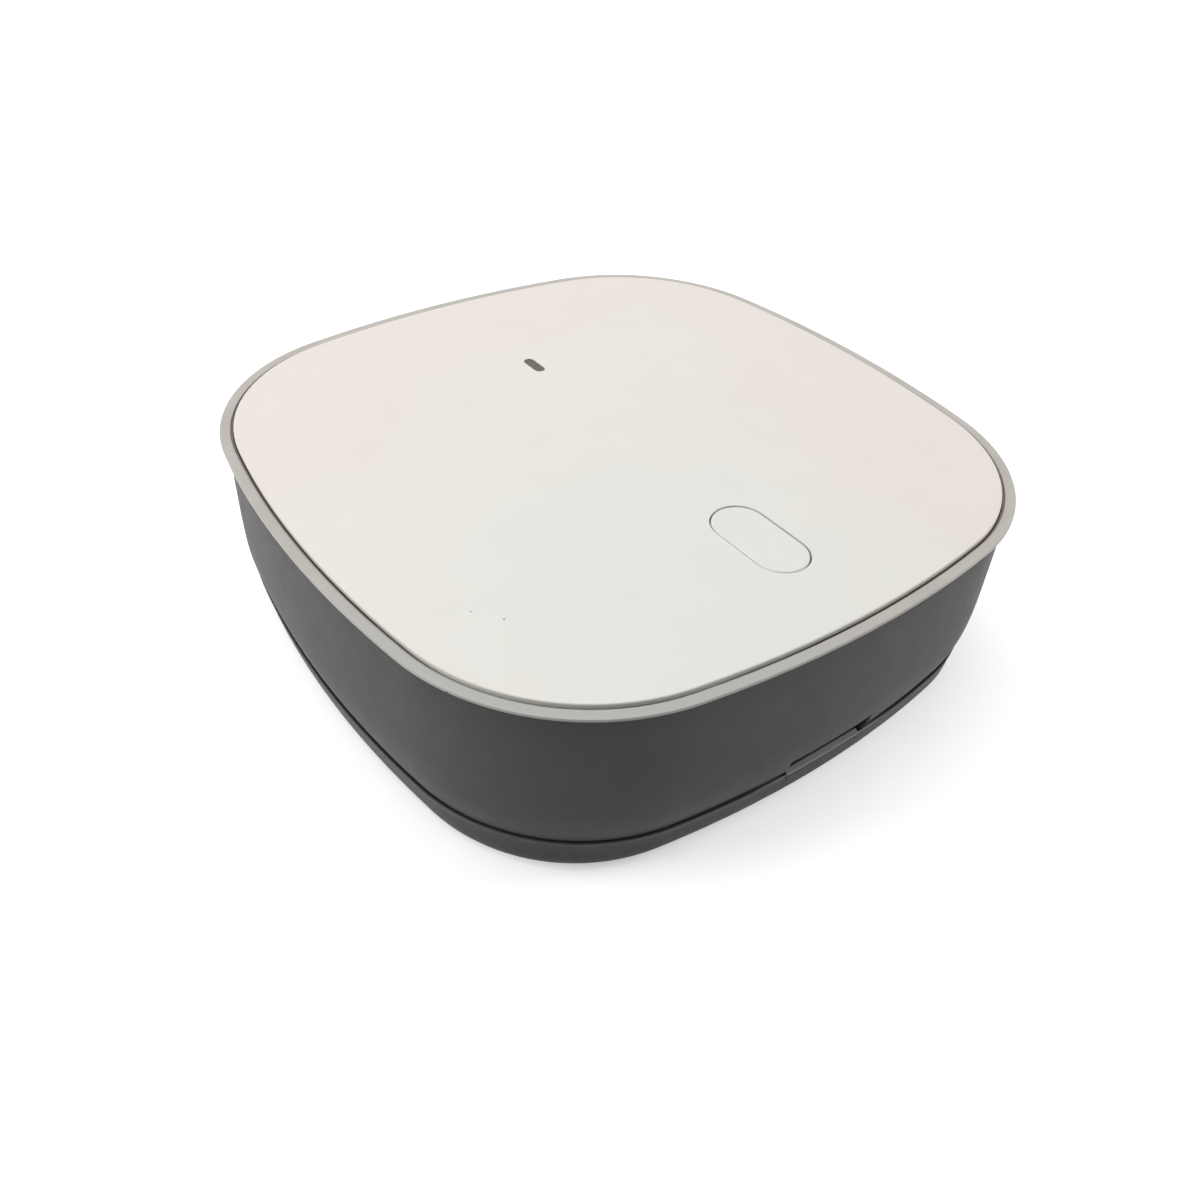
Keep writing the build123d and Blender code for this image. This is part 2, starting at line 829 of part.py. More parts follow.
def make_legged_chip(width, length, height, legs_a_side, x, y):
    """A chip with bent legs along both long sides, and a round mark in one corner."""
    low = board_top + leg_thickness
    high = board_top + height
    chip = block(width, length, low, high, x, y)
    first = y - leg_spacing * (legs_a_side - 1) / 2
    for number in range(legs_a_side):
        leg_y = first + number * leg_spacing
        span = width + 2 * leg_length
        chip += block(span, leg_width, board_top + leg_rise - leg_thickness, board_top + leg_rise, x, leg_y)
        for x_sign in (-1, 1):
            leg_x = x + x_sign * (span - leg_thickness) / 2
            chip += block(leg_thickness, leg_width, board_top, board_top + leg_rise, leg_x, leg_y)
    mark_x = x - width / 2 + chip_mark_inset
    mark_y = y + length / 2 - chip_mark_inset
    return chip - post(chip_mark_radius, high - chip_mark_depth, high + cut_overrun, mark_x, mark_y)


def make_crystal(x, y):
    can = block(crystal_width, crystal_length, board_top, board_top + crystal_height, x, y)
    return fillet(top_edges(can), crystal_edge_round)


def make_radio_shield():
    x, y = place("radio")
    high = board_top + radio_shield_height
    can = make_shield(radio_shield_width, radio_shield_length, radio_shield_height, board_top, x, y)
    first_x = x - radio_vent_spacing * (radio_vent_count - 1) / 2
    for number in range(radio_vent_count):
        vent_x = first_x + number * radio_vent_spacing
        can -= block(radio_vent_width, radio_vent_length, board_top, high + cut_overrun, vent_x, y)
    return can


def make_antenna():
    """A stamped strip that stands on two legs and runs along the board's edge."""
    x, y = place("antenna")
    high = board_top + antenna_height
    antenna = block(antenna_thickness, antenna_span, high - antenna_strip, high, x, y)
    first_y = y - antenna_span / 2 + antenna_strip / 2
    for leg_y in (first_y, first_y + antenna_leg_spacing):
        antenna += block(antenna_thickness, antenna_strip, board_top, high, x, leg_y)
        pad_x = x - antenna_pad / 2 + antenna_thickness / 2
        antenna += block(antenna_pad, antenna_strip, board_top, board_top + antenna_thickness, pad_x, leg_y)
    return antenna


def port_mouth_y():
    return back_wall_y(body_waist_inset) - port_recess


def port_bar(width, height, corner, front, back):
    """A bar along Y with rounded long edges, centred on the inlet."""
    bar = extrude(RectangleRounded(width, height, corner), front - back)
    return Pos(0, front, board_top + port_height / 2) * Rot(90, 0, 0) * bar


def make_port_shell():
    front = port_mouth_y()
    back = front - port_depth
    outer = port_bar(port_width, port_height, port_corner, front, back)
    inner_width = port_width - 2 * port_wall
    inner_height = port_height - 2 * port_wall
    inner_corner = port_corner - port_wall
    return outer - port_bar(inner_width, inner_height, inner_corner, front + cut_overrun, back - cut_overrun)


def make_port_tongue():
    back = port_mouth_y() - port_depth
    shrink = 2 * (port_wall + port_insert_clearance)
    corner = port_corner - port_wall
    insert = port_bar(port_width - shrink, port_height - shrink, corner, back + port_insert_depth, back)
    low = board_top + (port_height - port_tongue_thickness) / 2
    length = port_depth - port_tongue_setback
    tongue = block(port_tongue_width, length, low, low + port_tongue_thickness, 0, back + length / 2)
    return insert + tongue


def make_capped_block(width, length, height, cap, lip, x, y):
    """A small two ended part: a block along X with a slightly larger cap on each end."""
    part = block(width, length, board_top + lip, board_top + height - lip, x, y)
    for x_sign in (-1, 1):
        cap_x = x + x_sign * (width - cap) / 2
        part += block(cap, length + 2 * lip, board_top, board_top + height, cap_x, y)
    return part


def make_fuse():
    return make_capped_block(fuse_width, fuse_length, fuse_height, fuse_end_cap, fuse_end_lip, *place("fuse"))


def make_diode():
    x, y = place("diode")
    diode = block(diode_width, diode_length, board_top, board_top + diode_height, x, y)
    lead_span = diode_width + 2 * diode_lead_length
    lead_top = board_top + leg_thickness
    return diode + block(lead_span, diode_lead_width, board_top, lead_top, x, y)


def make_inductor():
    """A drum core: two square flanges with a round core between."""
    x, y = place("inductor")
    high = board_top + inductor_height
    core = post(inductor_core_radius, board_top, high, x, y)
    lower = block(inductor_width, inductor_width, board_top, board_top + inductor_flange, x, y)
    return core + lower + block(inductor_width, inductor_width, high - inductor_flange, high, x, y)


def make_capacitor(radius, height, x, y):
    """A round can on a square plastic foot, with a rolled groove and a vent cross on top."""
    low = board_top + capacitor_foot_height
    high = board_top + height
    can = fillet(top_edges(post(radius, low, high, x, y)), capacitor_edge_round)
    groove_low = low + capacitor_groove_height
    groove_high = groove_low + capacitor_groove_height / 2
    ring = post(radius + cut_overrun, groove_low, groove_high, x, y)
    can -= ring - post(radius - capacitor_groove_depth, groove_low, groove_high, x, y)
    vent_low = high - capacitor_vent_depth
    can -= block(radius, capacitor_vent_width, vent_low, high + cut_overrun, x, y)
    can -= block(capacitor_vent_width, radius, vent_low, high + cut_overrun, x, y)
    foot_width = 2 * (radius + capacitor_foot_margin)
    return can + block(foot_width, foot_width, board_top, low, x, y)


def sounder_levels():
    """Bottom of the case, top of its floor, top of the disc's shelf, and top of the disc."""
    low = board_bottom - sounder_height
    floor = low + sounder_wall
    shelf = floor + sounder_shelf_height
    return low, floor, shelf, shelf + sounder_disc_thickness


def make_sounder_case():
    x, y = sounder_place()
    low, floor, shelf, disc_top = sounder_levels()
    inner = sounder_radius - sounder_wall
    case = fillet(bottom_edges(post(sounder_radius, low, board_bottom, x, y)), sounder_edge_round)
    case -= post(inner, shelf, board_bottom + cut_overrun, x, y)
    case -= post(inner - sounder_shelf_width, floor, board_bottom, x, y)
    return case - post(sounder_mouth_radius, low - cut_overrun, floor + cut_overrun, x, y)


def make_sounder_disc():
    x, y = sounder_place()
    low, floor, shelf, disc_top = sounder_levels()
    return post(sounder_radius - sounder_wall - sounder_disc_clearance, shelf, disc_top, x, y)


def make_sounder_pins():
    low, floor, shelf, disc_top = sounder_levels()
    high = board_top + sounder_pin_proud
    return group([post(sounder_pin_radius, disc_top + sounder_pin_play, high, x, y)
                  for x, y in sounder_pin_places()])


def make_small_parts(row_shares):
    """Rows of small two ended parts, laid across the row."""
    parts = []
    for x_share, y_share, count in row_shares:
        for number in range(count):
            x = board_width * x_share + number * small_spacing
            y = board_width * y_share
            parts.append(make_capped_block(small_length, small_width, small_height,
                                           small_end_cap, small_end_lip, x, y))
    return group(parts)


def make_all():
    nodes = {
        "top_panel": make_top_panel(),
        "bezel_ring": make_bezel_ring(),
        "body_shell": make_body_shell(),
        "base_cover": make_base_cover(),
        "case_screws": make_case_screws(),
        "board_screws": make_board_screws(),
        "button_cap": make_button_cap(),
        "button_switch_base": make_switch_base(),
        "button_switch_cover": make_switch_cover(),
        "button_switch_plunger": make_switch_plunger(),
        "button_switch_dome": make_switch_dome(),
        "status_light_pipe": make_light_pipe(),
        "status_led": make_status_led(),
        "light_shroud": make_light_shroud(),
        "main_board": make_main_board(),
        "wifi_module_board": make_wifi_board(),
        "wifi_module_shield": make_wifi_shield(),
        "processor_chip": make_flat_chip(processor_width, processor_height, *place("processor")),
        "memory_chip": make_legged_chip(memory_width, memory_length, memory_height, 4, *place("memory")),
        "clock_crystal": make_crystal(*place("clock")),
        "radio_shield": make_radio_shield(),
        "radio_antenna": make_antenna(),
        "power_port_shell": make_port_shell(),
        "power_port_tongue": make_port_tongue(),
        "resettable_fuse": make_fuse(),
        "surge_diode": make_diode(),
        "power_inductor": make_inductor(),
        "regulator_chip": make_legged_chip(
            regulator_width, regulator_length, regulator_height, 4, *place("regulator")),
        "input_capacitor": make_capacitor(
            input_capacitor_radius, input_capacitor_height, *place("input_capacitor")),
        "output_capacitor": make_capacitor(
            output_capacitor_radius, output_capacitor_height, *place("output_capacitor")),
        "sounder_case": make_sounder_case(),
        "sounder_disc": make_sounder_disc(),
        "sounder_pins": make_sounder_pins(),
        "sounder_driver": make_legged_chip(driver_width, driver_length, driver_height, 2, *place("driver")),
        "chip_resistors": make_small_parts(resistor_row_shares),
        "chip_capacitors": make_small_parts(capacitor_row_shares),
    }
    radio_x, radio_y = place("radio")
    nodes["radio_chip"] = make_flat_chip(
        radio_chip_width, radio_chip_height, radio_x - radio_chip_offset, radio_y)
    nodes["radio_crystal"] = make_crystal(radio_x + radio_chip_offset, radio_y)
    foot_names = ("foot_front_left", "foot_front_right", "foot_back_right", "foot_back_left")
    for name, (x, y) in zip(foot_names, foot_places()):
        nodes[name] = make_foot(x, y)
    return nodes


os.makedirs("parts", exist_ok=True)
for node_name, node_shape in make_all().items():
    export_step(node_shape, "parts/" + node_name + ".step")
print("button travel", button_travel, "along -Z at y", round(button_y, 3))
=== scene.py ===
import json
import math
import bpy
from mathutils import Matrix, Vector

# A garage door controller hub on a pale table, lit by a soft studio. Places of the camera and the
# lamps are in metres. What is said of marks and patterns on the hub is in millimetres.
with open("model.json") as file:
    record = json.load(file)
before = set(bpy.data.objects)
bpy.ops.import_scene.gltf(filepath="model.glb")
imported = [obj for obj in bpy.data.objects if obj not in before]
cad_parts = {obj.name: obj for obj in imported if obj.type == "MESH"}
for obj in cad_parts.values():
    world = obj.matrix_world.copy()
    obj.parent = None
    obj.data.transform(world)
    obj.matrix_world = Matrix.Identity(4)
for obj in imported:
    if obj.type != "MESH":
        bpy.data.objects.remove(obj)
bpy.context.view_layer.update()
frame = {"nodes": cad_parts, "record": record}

MM = 0.001

# The photograph's view, from the front left, with its angles in degrees. The camera looks at a
# point on the cover.
CAMERA_AZIMUTH = -38.80
CAMERA_ELEVATION = 40.18
CAMERA_ROLL = 3.66
CAMERA_DISTANCE = 176.0 * MM
CAMERA_AIM = (-33.0 * MM, -40.1 * MM, 40.5 * MM)
CAMERA_NEAREST = 5 * MM
SENSOR_WIDTH = 36
# The focal length came out as 1068 of the photograph's 1200 pixels.
FOCAL_LENGTH = 1068 / 1200 * SENSOR_WIDTH

# Name, place, the point that it lights, width, height, and power in watts
LAMPS = [
    ("overhead", (-0.1, 0.25, 0.95), (0, 0, 0), 0.9, 0.9, 5.45),
    ("left_window", (-0.85, 0.50, 0.42), (0, 0, 0.02), 0.6, 0.5, 5.75),
    ("right_window", (0.95, -0.36, 0.40), (0, 0, 0.02), 0.5, 0.5, 5.9),
]
# Lamps up to this height are left out of reflections.
LOW_LAMP_HEIGHT = 0.5
# The dim room lights the hub, and the white backdrop is what is seen behind it.
ROOM_STRENGTH = 0.22
BACKDROP_STRENGTH = 1.0
# What lifts the table to white where it is seen, and how far it goes from its middle
TABLE_GLOW = 0.46
TABLE_REACH = 0.5

# Where the cover's white has aged: the x and y of an upright line, the distances from it at which
# the aged shade sets in and is full, and that shade. The second distance is the shorter where the
# line is in the middle of the shade.
COVER_AGEING = [
    (-20, -42, 22, 38, "E7E4DB"),
    (-65, 65, 60, 46, "EADFD7"),
    (175, -40, 156, 142, "EADFD7"),
    (10, 190, 156, 142, "EADFD7"),
]
# How much of the cover's shade comes from patches left by hands
HANDLED_SHARE = 0.2
# The front left corner, given as above: the gap has no painted shade there, and the ring is cooler
UNSHADED_GAP_CORNER = (-50, -62, 20, 40)
COOL_CORNER = (-48, -60, 60, 30)
# Heights at which a mark sets in and is full. Down in the gap round the cover, on the ring's ledge
# and under the slot's lip they are painted shade, and along that lip a painted highlight
COVER_GAP_SHADE = (40.1, 39.95)
RING_LEDGE_SHADE = (40.15, 40.05)
SLOT_PAINTED_SHADE = (7.8, 7.4)
SLOT_LIP_HIGHLIGHT_TOP = (8.15, 8.05)
SLOT_LIP_HIGHLIGHT_BOTTOM = (7.7, 7.85)
# How far a surface faces up, from 0 to 1, where a mark sets in and is full: painted shade on the
# ring's ledge, and painted light on the ledge in the slot
RING_LEDGE_SHADE_LEVEL = (0.8, 0.95)
SLOT_LIT_LEVEL = (0.1, 0.6)
# Small round marks, as places on the hub with their radius
COVER_SPECKS = [(-52.4, -31.4, 40.9, 0.17), (-49.0, -35.9, 40.9, 0.22)]
RING_NICK = [(-64.16, -43.93, 40.1, 0.3), (-64.25, -44.2, 39.9, 0.35)]
# The patch round the slot in which painted light, a painted highlight and painted shade are put
SLOT_LIGHT_AND_SHADE_AREA = [(0.5, -67.0, 8.2, 18.0)]
# The share of a mark's radius within which it is full
MARK_CORE = 0.5
# A ragged border wanders this far to each side, in patches of this size.
BORDER_DRIFT = 14
BORDER_PATCH = 12
# How alike the flat and the rounded normal are where a paler edge sets in and is full, as a cosine.
# The paler edge is wear, and on the ring and the dark body also a painted highlight
EDGE_SETS_IN = 0.995
EDGE_IS_FULL = 0.80
# How many rays feel for the edges that the normal rounds
EDGE_SAMPLES = 6


def linear(text):
    """An sRGB hex colour as linear light."""
    values = [int(text[start:start + 2], 16) / 255 for start in (0, 2, 4)]
    light = [v / 12.92 if v <= 0.04045 else ((v + 0.055) / 1.055) ** 2.4 for v in values]
    return (*light, 1.0)


def add(tree, kind, settings):
    """Add one node. Each of its settings is a value, an output that feeds it, or a node whose first
    output does."""
    new = tree.nodes.new(kind)
    for name, value in settings.items():
        if isinstance(value, bpy.types.Node):
            value = value.outputs[0]
        if isinstance(value, bpy.types.NodeSocket):
            tree.links.new(value, new.inputs[name])
        elif isinstance(name, int) or name in new.inputs:
            new.inputs[name].default_value = value
        else:
            setattr(new, name, value)
    return new


def start_material(name):
    """An empty material, and the place on the object that its patterns follow."""
    material = bpy.data.materials.new(name)
    material.use_nodes = True
    tree = material.node_tree
    tree.nodes.clear()
    place = add(tree, "ShaderNodeTexCoord", {}).outputs["Object"]
    return material, tree, place


def start_finish(name, edge):
    """A material for a piece, with a normal that rounds its edges by a radius."""
    material, tree, place = start_material(name)
    soft = add(tree, "ShaderNodeBevel", {"samples": EDGE_SAMPLES, "Radius": edge * MM})
    return material, tree, place, soft


def finished(material, settings, colour, roughness, normal):
    """Close a material with its shader, on which all that is the same all over is set."""
    tree = material.node_tree
    shader = add(tree, "ShaderNodeBsdfPrincipled", {
        **settings, "Base Color": colour, "Roughness": roughness, "Normal": normal})
    add(tree, "ShaderNodeOutputMaterial", {"Surface": shader})
    return material


def per_mm(size):
    """The texture scale whose features are about this many millimetres across."""
    return 1 / (size * MM)


def uneven(tree, place, size, detail, low, high):
    """A value that drifts between two limits in soft patches of a size."""
    patches = add(tree, "ShaderNodeTexNoise", {
        "Scale": per_mm(size), "Detail": detail, "Vector": place})
    return add(tree, "ShaderNodeMapRange", {"To Min": low, "To Max": high, "Value": patches})


def grained(tree, place, soft, size, detail, depth):
    """The normal of a surface with a fine grain of a size and a depth."""
    grain = add(tree, "ShaderNodeTexNoise", {
        "Scale": per_mm(size), "Detail": detail, "Vector": place})
    return add(tree, "ShaderNodeBump", {"Height": grain, "Normal": soft, "Distance": depth * MM})


def drawn_out(tree, place, size, stretch):
    """Fine lines left by rolling or drawing the metal, which run the way of the small stretch.
    Real ones are about 0.03 mm apart, and these are coarser so that they show."""
    along = add(tree, "ShaderNodeMapping", {"Scale": stretch, "Vector": place})
    return add(tree, "ShaderNodeTexNoise", {"Scale": per_mm(size), "Detail": 3, "Vector": along})


def mix_in(tree, colour, added_colour, *factors, most=1.0):
    """Mix another colour into a colour where all the factors are high, up to the most that is given.
    It carries stains, and also painted light and shade.
    """
    amount = most
    for factor in factors:
        amount = add(tree, "ShaderNodeMath", {"operation": "MULTIPLY", 0: amount, 1: factor})
    mix = add(tree, "ShaderNodeMix", {"data_type": "RGBA", 0: amount, 6: colour, 7: linear(added_colour)})
    return mix.outputs[2]


def shaded(tree, pattern, first, second, start, end):
    """Run from one shade to another as a pattern rises from start to end."""
    rise = add(tree, "ShaderNodeMapRange", {"From Min": start, "From Max": end, "Value": pattern})
    return mix_in(tree, linear(first), second, rise)


def clouded(tree, place, first, second, size, detail, start, end):
    """Two shades that pass into each other in soft patches of a size."""
    patches = add(tree, "ShaderNodeTexNoise", {
        "Scale": per_mm(size), "Detail": detail, "Vector": place})
    return shaded(tree, patches, first, second, start, end)


def edge_wear_and_highlight(tree, colour, soft, edge_shade, most):
    """Put a paler shade on a colour where the rounded normal leaves the flat one, so on edges: wear,
    and on the ring and the dark body also a painted highlight.
    """
    flat = add(tree, "ShaderNodeNewGeometry", {}).outputs["Normal"]
    alike = add(tree, "ShaderNodeVectorMath", {"operation": "DOT_PRODUCT", 0: soft, 1: flat})
    edge = add(tree, "ShaderNodeMapRange", {
        "From Min": EDGE_SETS_IN, "From Max": EDGE_IS_FULL, "Value": alike.outputs["Value"]})
    return mix_in(tree, colour, edge_shade, edge, most=most)


def marked(tree, place, marks):
    """A factor that is 1 inside small round marks."""
    total = 0.0
    for x, y, z, radius in marks:
        gap = add(tree, "ShaderNodeVectorMath", {
            "operation": "DISTANCE", 0: place, 1: (x * MM, y * MM, z * MM)})
        mark = add(tree, "ShaderNodeMapRange", {
            "From Min": radius * MM, "From Max": radius * MM * MARK_CORE,
            "Value": gap.outputs["Value"]})
        total = add(tree, "ShaderNodeMath", {"operation": "MAXIMUM", 0: total, 1: mark})
    return total


def away_from(tree, place, x, y, start, end):
    """A factor that goes from 0 to 1 between two distances from an upright line, by a ragged
    border."""
    level = add(tree, "ShaderNodeVectorMath", {"operation": "MULTIPLY", 0: place, 1: (1, 1, 0)})
    gap = add(tree, "ShaderNodeVectorMath", {
        "operation": "DISTANCE", 0: level, 1: (x * MM, y * MM, 0)})
    drift = uneven(tree, place, BORDER_PATCH, detail=4, low=-BORDER_DRIFT * MM,
                   high=BORDER_DRIFT * MM)
    ragged = add(tree, "ShaderNodeMath", {"operation": "ADD", 0: gap.outputs["Value"], 1: drift})
    return add(tree, "ShaderNodeMapRange", {
        "From Min": start * MM, "From Max": end * MM, "Value": ragged})


def facing_up(tree, start, end):
    """A factor that goes from 0 to 1 as a surface turns from upright towards level."""
    normal = add(tree, "ShaderNodeNewGeometry", {}).outputs["Normal"]
    upward = add(tree, "ShaderNodeSeparateXYZ", {0: normal}).outputs["Z"]
    return add(tree, "ShaderNodeMapRange", {"From Min": start, "From Max": end, "Value": upward})


def at_height(tree, place, start, end):
    """A factor that goes from 0 to 1 as the height goes from start to end."""
    height = add(tree, "ShaderNodeSeparateXYZ", {0: place}).outputs["Z"]
    return add(tree, "ShaderNodeMapRange", {
        "From Min": start * MM, "From Max": end * MM, "Value": height})


def seen_background(tree):
    """1 for the rays that show the background: straight to the camera, by a reflection or through
    glass."""
    path = add(tree, "ShaderNodeLightPath", {}).outputs
    seen = path["Is Camera Ray"]
    for way in ("Is Glossy Ray", "Is Transmission Ray"):
        seen = add(tree, "ShaderNodeMath", {"operation": "MAXIMUM", 0: seen, 1: path[way]})
    return seen


def white_cover_abs():
    """Injection moulded white ABS from a finely blasted mould: a soft satin sheen with the faintest
    grain, cool near the front and slightly warmer outwards where the plastic has aged, two specks,
    and painted shade down in the gap round it."""
    material, tree, place, soft = start_finish("satin_moulded_white_abs", edge=0.08)
    colour = linear("E4E5E0")
    for x, y, start, end, aged in COVER_AGEING:
        colour = mix_in(tree, colour, aged, away_from(tree, place, x, y, start, end))
    handled = clouded(tree, place, "E2E1DC", "E9E8E4", size=9, detail=4, start=0.35, end=0.65)
    colour = add(tree, "ShaderNodeMix", {
        "data_type": "RGBA", 0: HANDLED_SHARE, 6: colour, 7: handled}).outputs[2]
    colour = edge_wear_and_highlight(tree, colour, soft, "F2F0EC", most=0.25)
    colour = mix_in(tree, colour, "55504A", marked(tree, place, COVER_SPECKS))
    # Painted shade: a dark band down the side of the gap round the cover, left off at the front left
    # corner.
    colour = mix_in(tree, colour, "574D46", at_height(tree, place, *COVER_GAP_SHADE),
                     away_from(tree, place, *UNSHADED_GAP_CORNER))
    roughness = uneven(tree, place, size=6, detail=4, low=0.40, high=0.52)
    # The mould's blasting is about 0.05 mm, too fine for the render, so it is drawn at 0.35 mm.
    normal = grained(tree, place, soft, size=0.35, detail=3, depth=0.004)
    return finished(material, {"IOR": 1.54}, colour, roughness, normal)


def grey_ring_abs():
    """Injection moulded pale grey ABS from a polished mould: a tighter sheen than the cover's, which
    draws a bright line along its rounded edge, with faint handling marks, one dark nick, paler edges
    that are worn and also carry a painted highlight, and painted shade on the ledge down in the gap."""
    material, tree, place, soft = start_finish("satin_moulded_grey_abs", edge=0.15)
    colour = clouded(tree, place, "B5B0A8", "BDB8B0", size=12, detail=3, start=0.35, end=0.65)
    colour = mix_in(tree, colour, "B3B2AD", away_from(tree, place, *COOL_CORNER))
    # Paler edges: wear, and a painted highlight along the ring's rounded edge.
    colour = edge_wear_and_highlight(tree, colour, soft, "D2CEC8", most=0.3)
    colour = mix_in(tree, colour, "35322E", marked(tree, place, RING_NICK))
    # Painted shade on the ring's level ledge down in the gap, left off at the front left corner.
    colour = mix_in(tree, colour, "6E635A", at_height(tree, place, *RING_LEDGE_SHADE),
                     facing_up(tree, *RING_LEDGE_SHADE_LEVEL), away_from(tree, place, *UNSHADED_GAP_CORNER))
    roughness = uneven(tree, place, size=5, detail=2, low=0.27, high=0.31)
    # Polishing marks are about 0.02 mm, too fine for the render, so they are drawn at 0.3 mm.
    normal = grained(tree, place, soft, size=0.3, detail=3, depth=0.003)
    return finished(material, {"IOR": 1.54}, colour, roughness, normal)


def dark_body_abs():
    """Injection moulded dark grey ABS from a spark eroded mould: a fine even pebbling that kills the
    gloss and spreads the light, slightly paler on edges from wear and a painted highlight along the
    base's lip. At the slot, painted light on the up-facing ledge, a painted highlight along the lip,
    and painted shade just under them."""
    material, tree, place, soft = start_finish("spark_textured_dark_abs", edge=0.25)
    colour = clouded(tree, place, "504F4E", "565554", size=18, detail=4, start=0.35, end=0.65)
    # Spark erosion leaves pits of about 0.1 mm, drawn at 0.45 mm so that they show in the render.
    pits = add(tree, "ShaderNodeTexNoise", {"Scale": per_mm(0.45), "Detail": 4, "Vector": place})
    colour = mix_in(tree, colour, "464544", pits, most=0.25)
    # Paler edges: wear, and a painted highlight along the base's lip.
    colour = edge_wear_and_highlight(tree, colour, soft, "8A8886", most=0.5)
    near_slot = marked(tree, place, SLOT_LIGHT_AND_SHADE_AREA)
    painted_shade_low = at_height(tree, place, *SLOT_PAINTED_SHADE)
    # Painted shade on the base just under the slot's lip.
    colour = mix_in(tree, colour, "2C2B2A", near_slot, painted_shade_low, most=0.6)
    # Painted light on the up-facing ledge in the slot.
    colour = mix_in(tree, colour, "8E8C8A", near_slot, facing_up(tree, *SLOT_LIT_LEVEL), most=0.8)
    # A painted highlight along the slot's lip.
    colour = mix_in(tree, colour, "A8A6A3", near_slot,
                     at_height(tree, place, *SLOT_LIP_HIGHLIGHT_TOP),
                     at_height(tree, place, *SLOT_LIP_HIGHLIGHT_BOTTOM), most=0.8)
    roughness = uneven(tree, place, size=4, detail=4, low=0.50, high=0.62)
    normal = add(tree, "ShaderNodeBump", {"Height": pits, "Normal": soft, "Distance": 0.02 * MM})
    # The pits trap part of the light that a smooth face would throw back.
    return finished(material, {"IOR": 1.54, "Specular IOR Level": 0.2}, colour, roughness, normal)


def smoked_acrylic():
    """Polished smoke tinted acrylic: a warm grey glossy window with a little depth and faint
    ripples."""
    material, tree, place, soft = start_finish("polished_smoked_acrylic", edge=0.1)
    colour = clouded(tree, place, "544D42", "645C50", size=1.2, detail=3, start=0.3, end=0.7)
    roughness = uneven(tree, place, size=1, detail=3, low=0.08, high=0.2)
    normal = grained(tree, place, soft, size=0.4, detail=2, depth=0.002)
    return finished(material, {"IOR": 1.49, "Transmission Weight": 0.15}, colour, roughness, normal)


def black_nylon():
    """Moulded black glass filled nylon: matt, with a faint grey bloom of fibres at the surface."""
    material, tree, place, soft = start_finish("moulded_black_nylon", edge=0.1)
    colour = clouded(tree, place, "1C1C1E", "2B2B2E", size=0.6, detail=4, start=0.35, end=0.7)
    colour = edge_wear_and_highlight(tree, colour, soft, "4A4A4D", most=0.3)
    roughness = uneven(tree, place, size=1.5, detail=3, low=0.48, high=0.62)
    # The fibres are about 0.02 mm thick, too fine for the render, so they are drawn at 0.3 mm.
    normal = grained(tree, place, soft, size=0.3, detail=3, depth=0.01)
    return finished(material, {"IOR": 1.53}, colour, roughness, normal)


def foot_rubber():
    """Compression moulded rubber: nearly black and dull, dusty in patches and scuffed at its rim."""
    material, tree, place, soft = start_finish("moulded_foot_rubber", edge=0.3)
    colour = clouded(tree, place, "232324", "3A3937", size=2.5, detail=5, start=0.4, end=0.75)
    colour = edge_wear_and_highlight(tree, colour, soft, "55534F", most=0.35)
    roughness = uneven(tree, place, size=2, detail=3, low=0.72, high=0.9)
    normal = grained(tree, place, soft, size=0.5, detail=4, depth=0.03)
    return finished(material, {"IOR": 1.52}, colour, roughness, normal)


def zinc_plated_steel():
    """Steel wire headed, rolled and zinc plated: a pale grey metal with a soft cloudy sheen, paler
    on its edges."""
    material, tree, place, soft = start_finish("zinc_plated_steel", edge=0.15)
    colour = clouded(tree, place, "A3A5A8", "BFC1C3", size=1.0, detail=4, start=0.35, end=0.7)
    colour = edge_wear_and_highlight(tree, colour, soft, "D6D7D8", most=0.4)
    roughness = uneven(tree, place, size=0.6, detail=3, low=0.28, high=0.45)
    # The plating's grains are about 0.02 mm, too fine for the render, so they are drawn at 0.25 mm.
    normal = grained(tree, place, soft, size=0.25, detail=3, depth=0.008)
    return finished(material, {"Metallic": 1.0}, colour, roughness, normal)


def tinned_sheet_steel():
    """Cold rolled steel sheet with tin plating: bright, with fine rolling lines along one way."""
    material, tree, place, soft = start_finish("tinned_sheet_steel", edge=0.08)
    lines = drawn_out(tree, place, size=0.25, stretch=(1.0, 0.06, 1.0))
    colour = shaded(tree, lines, "B5B6B8", "CDCECF", start=0.3, end=0.7)
    colour = edge_wear_and_highlight(tree, colour, soft, "DEDEDF", most=0.4)
    roughness = uneven(tree, place, size=2, detail=3, low=0.22, high=0.36)
    normal = add(tree, "ShaderNodeBump", {"Height": lines, "Normal": soft, "Distance": 0.003 * MM})
    return finished(material, {"Metallic": 1.0}, colour, roughness, normal)


def rolled_brass():
    """Rolled and stamped brass: a warm yellow metal with fine rolling lines and a little tarnish."""
    material, tree, place, soft = start_finish("rolled_brass", edge=0.08)
    lines = drawn_out(tree, place, size=0.25, stretch=(1.0, 0.06, 1.0))
    colour = shaded(tree, lines, "C3A05A", "D3B36C", start=0.3, end=0.7)
    tarnish = uneven(tree, place, size=3, detail=4, low=0, high=0.5)
    colour = mix_in(tree, colour, "9C7B44", tarnish)
    colour = edge_wear_and_highlight(tree, colour, soft, "E0C88A", most=0.4)
    roughness = uneven(tree, place, size=1.5, detail=3, low=0.26, high=0.42)
    normal = add(tree, "ShaderNodeBump", {"Height": lines, "Normal": soft, "Distance": 0.003 * MM})
    return finished(material, {"Metallic": 1.0}, colour, roughness, normal)


